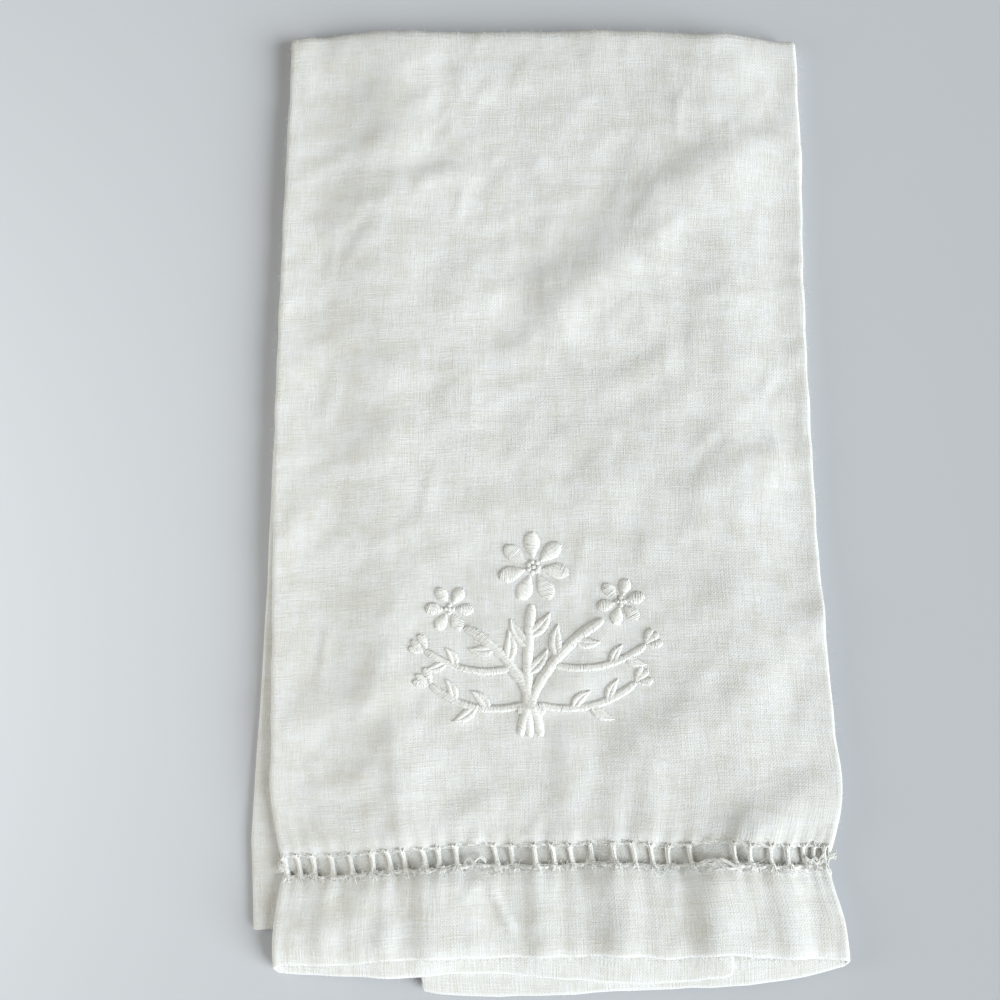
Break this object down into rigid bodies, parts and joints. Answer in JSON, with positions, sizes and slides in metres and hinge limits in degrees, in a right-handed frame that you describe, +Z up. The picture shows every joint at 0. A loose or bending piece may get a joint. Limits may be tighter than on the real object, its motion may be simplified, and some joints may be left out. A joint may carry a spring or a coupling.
{
  "type": "folded linen guest towel",
  "caption": "White linen guest towel with an openwork band above its hem, folded in thirds lengthwise and then in half, lying flat.",
  "frame": {"origin": "middle of the folded towel's outline, on the surface it lies on", "axes": "+Z up out of the front, +Y from the front hem towards the crosswise fold, +X to the right of someone facing the front"},
  "size_m": [0.1563, 0.2688, 0.0111],
  "materials": {
    "linen": "plain-woven white linen with slubs, matt, a little crumpled"
  },
  "bodies": {
    "root": {"towel": "linen"}
  },
  "joints": []
}
